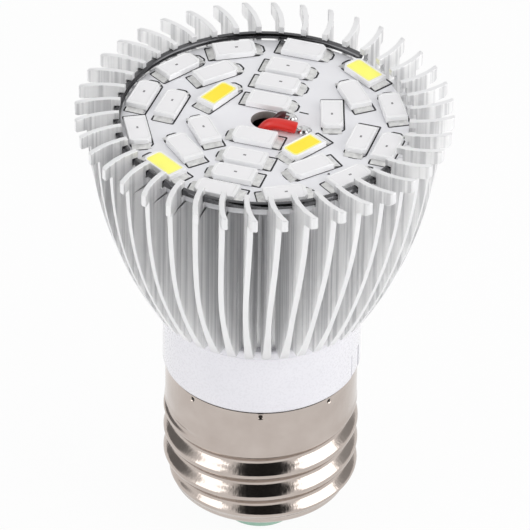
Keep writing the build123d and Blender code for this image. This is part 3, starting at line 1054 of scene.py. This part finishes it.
# %% Snap ring
RING_WIRE = 1.0
RING_OVER_BOARD = 0.1
RING_RADIUS = BOARD_RADIUS - RING_OVER_BOARD + RING_WIRE / 2
RING_FIRST, RING_LAST = 49.0, 330.0
RING_STEPS = 180
END_CHAMFER = 0.1
ring_path = []
ring_radii = []
for step in range(RING_STEPS + 1):
    angle = math.radians(RING_FIRST + (RING_LAST - RING_FIRST) * step / RING_STEPS)
    ring_path.append((RING_RADIUS * math.cos(angle), RING_RADIUS * math.sin(angle), RING_Z))
    ring_radii.append(RING_WIRE / 2 - (END_CHAMFER if step in (0, RING_STEPS) else 0))
mesh_piece(
    "snap_ring",
    *sweep(ring_path, ring_radii, 20),
    [ring_steel],
    stands_for=("retaining_ring",),
    slot="ring_steel",
)

# %% Leads
LEAD_RADIUS = 0.8
LEAD_CORE = 0.3
LEAD_LIFT = 0.02
INSULATION, BARE_CORE = 0, 1


def smooth_path(corners, per_span=10):
    """A soft line through given points, by Catmull-Rom."""
    corners = [Vector(c) for c in corners]
    corners = [corners[0] * 2 - corners[1]] + corners + [corners[-1] * 2 - corners[-2]]
    result = []
    for i in range(1, len(corners) - 2):
        a, b, c, d = corners[i - 1 : i + 3]
        for step in range(per_span):
            t = step / per_span
            straight = (c - a) * t
            bend = (2 * a - 5 * b + 4 * c - d) * t**2
            swing = (3 * b - a - 3 * c + d) * t**3
            result.append(0.5 * (2 * b + straight + bend + swing))
    result.append(corners[-2])
    return result


def lead(name, node, corners, radius, cover, slot, bare):
    """An insulated wire whose core is bare over about the last `bare` mm."""
    path = smooth_path(corners)
    cover_path = list(path)
    while len(cover_path) > 2 and (path[-1] - cover_path[-1]).length < bare:
        cover_path.pop()
    cover_radii = [radius] * len(cover_path)
    cover_radii[-1] = radius - END_CHAMFER
    points, faces = sweep(cover_path, cover_radii)
    finish_of = [INSULATION] * len(faces)
    core_points, core_faces = sweep(path, LEAD_CORE, 12)
    faces += shifted(core_faces, len(points))
    points += core_points
    finish_of += [BARE_CORE] * len(core_faces)
    mesh_piece(name, points, faces, [cover, tinned], finish_of, 40, stands_for=(node,), slot=slot)


lead_low = BOARD_TOP + LEAD_RADIUS + LEAD_LIFT
lead(
    "red_led_lead",
    "positive_lead",
    [
        (-2.6, -1.65, 55.0),
        (-1.2, -0.9, 59.5),
        (-0.8, -0.7, 62.4),
        (-0.3, -0.95, 63.7),
        (0.7, -1.2, BOARD_TOP + 0.5),
        (1.9, -1.55, lead_low),
        (3.8, -2.2, lead_low),
        (4.6, -2.3, BOARD_TOP + 0.6),
        (5.3, -2.2, BOARD_TOP + 0.3),
    ],
    radius=LEAD_RADIUS,
    cover=red_pvc,
    slot="red_insulation",
    bare=1.15,
)
lead(
    "dark_led_lead",
    "negative_lead",
    [
        (2.3, -1.65, 55.0),
        (1.5, 0.2, 59.5),
        (1.3, 1.0, 62.6),
        (1.6, 1.05, 64.2),
        (2.3, 1.05, BOARD_TOP + 0.5),
        (3.1, 0.9, BOARD_TOP + 0.4),
        (3.6, 0.8, BOARD_TOP + 0.25),
    ],
    radius=0.5,
    cover=dark_pvc,
    slot="black_insulation",
    bare=0.8,
)

# %% Solder heaps
HEAP_LEVELS = 8
HEAP_STEPS = 28
HEAP_LIFT = 0.005
HEAP_CLOSING = 0.94
HEAP_LOBES = ((3, 0.1), (5, 0.05))


def heap(name, node, middle_point, radius, height, phase):
    """A low dome with an uneven foot, as solder leaves it."""
    rings, heights = [], []
    for level in range(HEAP_LEVELS + 1):
        rise = level / HEAP_LEVELS * math.pi / 2
        reach = radius * math.cos(rise * HEAP_CLOSING)
        ring = []
        for step in range(HEAP_STEPS):
            angle = 2 * math.pi * step / HEAP_STEPS
            wobble = 1
            for turn, (lobes, depth) in enumerate(HEAP_LOBES, 1):
                wobble += depth * math.sin(lobes * angle + turn * phase)
            x = middle_point[0] + reach * wobble * math.cos(angle)
            y = middle_point[1] + reach * wobble * math.sin(angle)
            ring.append((x, y))
        rings.append(ring)
        heights.append(BOARD_TOP + HEAP_LIFT + height * math.sin(rise))
    points, faces = stack(rings, heights)
    mesh_piece(name, points, faces, [solder_metal], smooth_angle=60, stands_for=(node,), slot="solder")


heap("solder_heap_red", "positive_solder", (5.2, -2.15), radius=0.95, height=0.85, phase=0.4)
heap("solder_heap_dark", "negative_solder", (3.6, 0.85), radius=0.75, height=0.6, phase=2.0)

# %% [markdown]
# ## Collar and screw cap
#
# Both are turned forms with a few departures: slits and a snap tab in the collar, a helical groove
# and punched dimples in the shell. `skin` is a lathe whose profile may change with the angle, so
# each departure is a small change of radius in a formula, not a cut with a tool.

# %% Skins whose profile changes round the axis
def skin(angles, profile_at):
    """Joins one closed profile of (radius, z) points at each angle, given in degrees."""
    points = []
    for angle in angles:
        profile = profile_at(angle)
        cosine, sine = math.cos(math.radians(angle)), math.sin(math.radians(angle))
        points += [(radius * cosine, radius * sine, z) for radius, z in profile]
    return points, spun_faces(len(angles), len(profile))


def smoothstep(value, low, high):
    t = min(1, max(0, (value - low) / (high - low)))
    return t * t * (3 - 2 * t)


# %% Collar sizes
COLLAR_RADIUS = 13.3
COLLAR_LOW = RIM + 0.2
COLLAR_HIGH = SINK_FOOT
SKIRT_RADIUS = 11.6
SKIRT_LENGTH = 6
SLEEVE_PLAY = 0.25
SLEEVE_INNER = CORE_BORE - 1.2
SLEEVE_LENGTH = 3
FOOT_ROUND_HEIGHT, FOOT_ROUND_DEPTH = 0.45, 0.32
TOP_ROUND_HEIGHT, TOP_ROUND_DEPTH = 0.3, 0.2
SEAM_DROP = 1.1
SEAM_HALF = 0.04
SEAM_DEPTH = 0.1
TAB_ANGLE = -18.0
TAB_HALF = 6.0
TAB_SINK = 0.07
SLIT_HALF = 0.6
SLIT_HEIGHT = 4.0
SLIT_DEPTH = 0.9
SLIT_WALL = 0.05
SLIT_END = 0.01
SLIT_CLEAR = 1.2
TOUCH = 0.001
collar_top = COLLAR_HIGH - COLLAR_LOW
seam = collar_top - SEAM_DROP - SEAM_HALF
collar_heights = [0, 0.06, 0.2, FOOT_ROUND_HEIGHT, 0.8, 1.2, 1.21, 2.4]
collar_heights += [SLIT_HEIGHT, SLIT_HEIGHT + SLIT_END, 6.0]
collar_heights += [collar_top - SEAM_DROP - 3 * SEAM_HALF, seam, collar_top - SEAM_DROP]
collar_heights += [collar_top - TOP_ROUND_HEIGHT, collar_top - 0.12, collar_top]


# %% Collar
def collar_radius(angle, height):
    bend = (angle + 180) % 360 - 180
    to_slit = abs(abs(bend - TAB_ANGLE) - TAB_HALF)
    if to_slit <= SLIT_HALF + TOUCH and height <= SLIT_HEIGHT:
        return COLLAR_RADIUS - SLIT_DEPTH
    radius = COLLAR_RADIUS
    if height < FOOT_ROUND_HEIGHT:
        radius -= FOOT_ROUND_DEPTH * (1 - height / FOOT_ROUND_HEIGHT) ** 2
    if height > collar_top - TOP_ROUND_HEIGHT:
        radius -= TOP_ROUND_DEPTH * (1 - (collar_top - height) / TOP_ROUND_HEIGHT) ** 2
    if abs(height - seam) < SEAM_HALF / 2:
        radius -= SEAM_DEPTH
    if abs(bend - TAB_ANGLE) < TAB_HALF and height <= SLIT_HEIGHT:
        radius -= TAB_SINK
    return radius


def collar_profile(angle):
    profile = [(SKIRT_RADIUS, COLLAR_LOW - SKIRT_LENGTH), (SKIRT_RADIUS, COLLAR_LOW)]
    profile += [(collar_radius(angle, height), COLLAR_LOW + height) for height in collar_heights]
    sleeve_top = COLLAR_HIGH + SLEEVE_LENGTH
    profile += [(CORE_BORE - SLEEVE_PLAY, COLLAR_HIGH), (CORE_BORE - SLEEVE_PLAY, sleeve_top)]
    profile += [(SLEEVE_INNER, sleeve_top), (SLEEVE_INNER, COLLAR_LOW - SKIRT_LENGTH)]
    return profile


collar_angles = set(range(-180, 180, 3))
for slit in (TAB_ANGLE - TAB_HALF, TAB_ANGLE + TAB_HALF):
    collar_angles = {a for a in collar_angles if abs(a - slit) > SLIT_CLEAR}
    collar_angles |= {slit - SLIT_HALF - SLIT_WALL, slit - SLIT_HALF}
    collar_angles |= {slit + SLIT_HALF, slit + SLIT_HALF + SLIT_WALL}
mesh_piece(
    "white_collar",
    *skin(sorted(collar_angles), collar_profile),
    [collar_plastic],
    smooth_angle=30,
    stands_for=("collar",),
    slot="collar_white",
)

# %% [markdown]
# The thread is a knuckle thread: its crests and valleys are equal arcs, very close to a cosine. The
# depth at a point depends only on how far it lies from the helix, measured along the axis. At its
# upper end the groove narrows, drops towards the crest below it and fades out over half a turn, and
# the crests shrink towards the foot of the shell.

# %% Screw shell sizes
PITCH = 3.63
CREST = 13.18
ROOT = 12.05
SLEEVE = 12.95
SLEEVE_Z = RIM - 6.6
SLEEVE_BLEND = (-0.9, 1.2)
FOOT_BLEND = (0.7, 2.9)
VALLEY_AT_RIGHT = 14.4
RUN_OUT = 450.0
NARROWED = RUN_OUT + 90
GROOVE_END = 614.0
GROOVE_DROP = 0.28
GROOVE_NARROWING = 0.56
GROOVE_SHALLOWING = 0.5
STAKES = 8
STAKE_SPACING = 360 / STAKES
STAKE_RADIUS = 0.42
STAKE_DEPTH = 0.24
STAKE_Z = RIM - 0.6
STAKE_FLOOR = 0.35 * STAKE_RADIUS
STAKE_WALL = 1.1 * STAKE_RADIUS
STAKE_LIP = 1.2 * STAKE_RADIUS
STAKE_REACH = 1.6 * STAKE_RADIUS
STAKE_LIP_HEIGHT, STAKE_LIP_WIDTH = 0.03, 0.12
SHEET = 0.3


# %% Thread and stake marks
def from_stake(angle):
    """The distance round the sleeve from the nearest stake mark."""
    nearest_stake = round(angle / STAKE_SPACING) * STAKE_SPACING
    return math.radians(angle - nearest_stake) * SLEEVE


def shell_radius(angle, z):
    turns = (z - VALLEY_AT_RIGHT) / PITCH - angle / 360
    nearest = round(turns)
    unrolled = angle + 360 * nearest
    run_out = smoothstep(unrolled, RUN_OUT, NARROWED)
    across = (turns - nearest + GROOVE_DROP * run_out) / (1 - GROOVE_NARROWING * run_out)
    shape = 0.5 * (1 + math.cos(2 * math.pi * max(-0.5, min(0.5, across))))
    fade = (1 - GROOVE_SHALLOWING * run_out) * (1 - smoothstep(unrolled, NARROWED, GROOVE_END))
    to_sleeve = smoothstep(z, SLEEVE_Z + SLEEVE_BLEND[0], SLEEVE_Z + SLEEVE_BLEND[1])
    crest = CREST + (SLEEVE - CREST) * to_sleeve
    crest = ROOT + (crest - ROOT) * smoothstep(z, FOOT + FOOT_BLEND[0], FOOT + FOOT_BLEND[1])
    body = crest - min(CREST - ROOT, crest - ROOT) * shape * fade
    apart = math.hypot(from_stake(angle), z - STAKE_Z)
    if apart < STAKE_REACH:
        body -= STAKE_DEPTH * (1 - smoothstep(apart, STAKE_FLOOR, STAKE_WALL))
        from_lip = (apart - STAKE_LIP) / STAKE_LIP_WIDTH
        body += STAKE_LIP_HEIGHT * math.exp(-(from_lip**2))
    return body


# %% Shell profile
FOOT_BEND = 1.0
FOOT_BEND_STEPS = 6
FOOT_OPENING = 9.3
FOOT_EDGE = 0.05
BELOW_STAKES = 0.7
BELOW_RIM = 0.06
COARSE, FINE = 0.14, 0.07
RIM_EDGE = ((0.03, 0), (0.1, 0), (0.13, 0.05), (0.13, 1.1), (SHEET, 1.2))
coarse_count = int((STAKE_Z - BELOW_STAKES - FOOT - FOOT_BEND) / COARSE) + 1
shell_heights = [FOOT + FOOT_BEND + COARSE * i for i in range(coarse_count)]
fine_start = shell_heights[-1]
fine_count = int((RIM - BELOW_RIM - fine_start) / FINE)
shell_heights += [fine_start + FINE * i for i in range(1, fine_count + 1)]


def shell_profile(angle):
    """Up the outside from the opening in the foot, over the rim, and down the inside."""
    profile = [(FOOT_OPENING, FOOT + SHEET), (FOOT_OPENING, FOOT + FOOT_EDGE)]
    profile.append((FOOT_OPENING + FOOT_EDGE, FOOT))
    for step in range(FOOT_BEND_STEPS + 1):
        bend = math.radians(90 * step / FOOT_BEND_STEPS)
        profile.append((ROOT - FOOT_BEND + math.sin(bend), FOOT + FOOT_BEND - math.cos(bend)))
    profile += [(shell_radius(angle, z), z) for z in shell_heights[1:]]
    profile += [(SLEEVE - inward, RIM - down) for inward, down in RIM_EDGE]
    profile += [(SLEEVE - SHEET, SLEEVE_Z), (ROOT - SHEET, SLEEVE_Z - 1)]
    profile += [(ROOT - SHEET, FOOT + FOOT_BEND + SHEET), (ROOT - FOOT_BEND - SHEET, FOOT + SHEET)]
    return profile


# %% Shell mesh
SHELL_STEPS = 400
BRIGHT, SHADED = 0, 1
INSIDE_RIM = 0.11
RIM_SHADE = 1.3
STAKE_SHADE = 0.3
shell_points, shell_faces = skin([360 * i / SHELL_STEPS for i in range(SHELL_STEPS)], shell_profile)


def shell_finish(face):
    """Painted shade: dark in the stake marks and inside the rim, where the collar keeps light out."""
    reach = max(math.hypot(*shell_points[i][:2]) for i in face)
    if reach < SLEEVE - INSIDE_RIM and min(shell_points[i][2] for i in face) > RIM - RIM_SHADE:
        return SHADED
    centre = sum((Vector(shell_points[i]) for i in face), Vector()) / len(face)
    beside = abs(from_stake(math.degrees(math.atan2(centre.y, centre.x))))
    return SHADED if beside < STAKE_SHADE and abs(centre.z - STAKE_Z) < STAKE_SHADE else BRIGHT


mesh_piece(
    "threaded_shell",
    shell_points,
    shell_faces,
    [nickel, stake_shadow],
    [shell_finish(face) for face in shell_faces],
    smooth_angle=50,
    stands_for=("screw_shell",),
    slot="nickel_plate",
)
print("shell faces", len(shell_faces))

# %% [markdown]
# Below the shell, a pale green insulator narrows to a boss that carries the end contact. From a
# little above, only the boss's lower edge shows under the shell, and the contact is a low dome that
# the bulb stands on.

# %% Insulator
BOSS_RADIUS = 5.1
BOSS_LOW = 0.3
RIVET_HOLE = 0.95
FLANGE_RADIUS = 10.7
FLANGE_LOW, FLANGE_HIGH = FOOT + 0.4, FOOT + 1.6
insulator_profile = soften(
    [
        (RIVET_HOLE, BOSS_LOW + 0.05),
        (BOSS_RADIUS - 0.35, BOSS_LOW),
        (BOSS_RADIUS, BOSS_LOW + 0.2),
        (BOSS_RADIUS + 0.3, 2.4),
        (6.7, 4.3),
        (9.2, FOOT),
        (9.2, FLANGE_LOW),
        (FLANGE_RADIUS, FLANGE_LOW),
        (FLANGE_RADIUS, FLANGE_HIGH),
        (RIVET_HOLE, FLANGE_HIGH),
    ],
    radius=0.25,
    steps=4,
)
mesh_piece(
    "green_insulator",
    *lathe(insulator_profile, 128),
    [insulator_green],
    stands_for=("cap_insulator",),
    slot="insulator_green",
)

# %% End contact
AXIS = 0.02
CONTACT_RADIUS = 3.2
CONTACT_HIGH = 0.75
RIVET_RADIUS = 0.9
RIVET_HIGH = 3.15
contact_profile = [(AXIS, 0.0), (0.5, 0.0), (1.2, 0.03), (1.9, 0.12), (2.5, 0.28), (2.9, 0.45)]
contact_profile += [(3.15, 0.62), (CONTACT_RADIUS, 0.72), (CONTACT_RADIUS, CONTACT_HIGH)]
contact_profile += [(RIVET_RADIUS, CONTACT_HIGH), (RIVET_RADIUS, RIVET_HIGH), (AXIS, RIVET_HIGH)]
mesh_piece(
    "end_contact",
    *lathe(contact_profile, 96),
    [nickel],
    stands_for=("centre_contact",),
    slot="contact_nickel",
)

# %% [markdown]
# The driver inside the collar isn't seen from outside. Its solids keep their own shapes, and each
# gets the finish of the real component.

# %% Finishes for the hidden pieces
hidden = {
    "driver_board": laminate,
    "fusible_resistor": ceramic_blue,
    "bridge_rectifier": black_epoxy,
    "driver_chip": black_epoxy,
    "film_capacitor": brown_epoxy,
    "transformer": ferrite,
    "electrolytic_capacitor": can_sleeve,
    "live_lead": red_pvc,
    "neutral_lead": dark_pvc,
}
for node, finish in hidden.items():
    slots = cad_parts[node].data.materials
    if len(slots):
        slots[0] = finish
    else:
        slots.append(finish)
